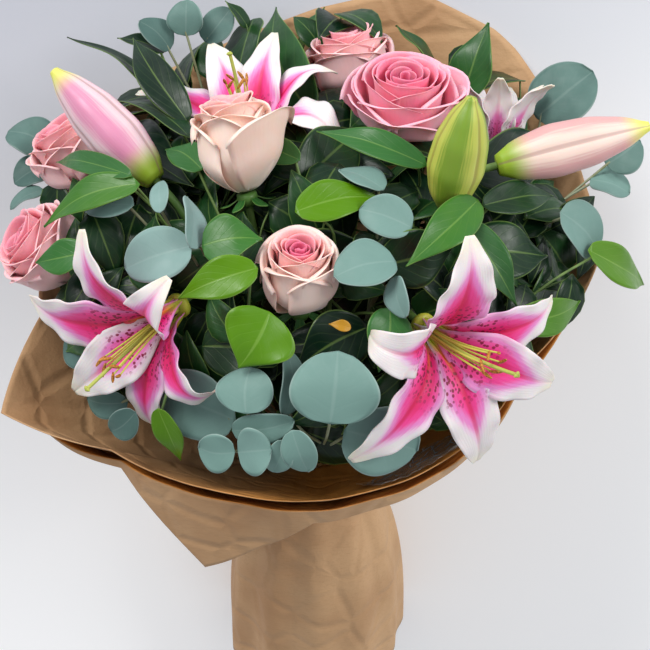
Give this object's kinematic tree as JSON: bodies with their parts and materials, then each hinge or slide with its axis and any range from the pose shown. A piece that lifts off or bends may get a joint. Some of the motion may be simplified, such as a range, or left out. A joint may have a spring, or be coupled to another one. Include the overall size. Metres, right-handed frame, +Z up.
{
  "type": "mixed flower bouquet",
  "caption": "Hand-tied bouquet of blush roses, pink lilies and buds, eucalyptus and glossy leaves, wrapped in brown kraft paper and laid on its back.",
  "frame": {"origin": "middle of the bouquet's footprint, on the table it lies on", "axes": "+Y from the stems' cut ends towards the flowers, +Z up out of the open front of the bouquet, +X to the right as the flowers are faced"},
  "size_m": [0.4968, 0.6042, 0.3479],
  "materials": {
    "rose_petal": "matte",
    "lily_petal": "satin",
    "lily_stamen": "matte",
    "bud_pink": "satin",
    "bud_green": "satin",
    "green_leaf": "gloss",
    "eucalyptus_leaf": "matte",
    "stem": "matte",
    "kraft_paper": "matte",
    "clear_film": "gloss",
    "twine": "matte"
  },
  "bodies": {
    "root": {"rose_front": "rose_petal", "rose_upper": "rose_petal", "rose_open": "rose_petal", "rose_back": "rose_petal", "rose_far_left": "rose_petal", "rose_left": "rose_petal", "lily_left": "lily_petal", "lily_left_stamens": "lily_stamen", "lily_right": "lily_petal", "lily_right_stamens": "lily_stamen", "lily_back": "lily_petal", "lily_back_stamens": "lily_stamen", "lily_far_right": "lily_petal", "lily_far_right_stamens": "lily_stamen", "lily_bud_left": "bud_pink", "lily_bud_green": "bud_green", "lily_bud_right": "bud_pink", "kraft_inner_sheet": "kraft_paper", "kraft_outer_sheet": "kraft_paper", "clear_film_liner": "clear_film", "lily_stem_left": "stem", "lily_stem_right": "stem", "lily_stem_back": "stem", "rose_stem_front": "stem", "rose_stem_upper": "stem", "rose_stem_open": "stem", "rose_stem_back": "stem", "rose_stem_far_left": "stem", "rose_stem_left": "stem", "greens_salal_left": "green_leaf", "greens_salal_middle": "green_leaf", "greens_front_left": "green_leaf", "greens_lance_left": "green_leaf", "greens_upper_left": "green_leaf", "greens_broad_back": "green_leaf", "greens_upper_right": "green_leaf", "greens_right": "green_leaf", "greens_far_right": "green_leaf", "eucalyptus_front_left": "eucalyptus_leaf", "eucalyptus_front_right": "eucalyptus_leaf", "eucalyptus_left": "eucalyptus_leaf", "eucalyptus_middle": "eucalyptus_leaf", "eucalyptus_right": "eucalyptus_leaf", "eucalyptus_far_left": "eucalyptus_leaf", "eucalyptus_top": "eucalyptus_leaf", "eucalyptus_low_left": "eucalyptus_leaf", "stem_binding_twine": "twine", "paper_neck_twine": "twine"}
  },
  "joints": []
}
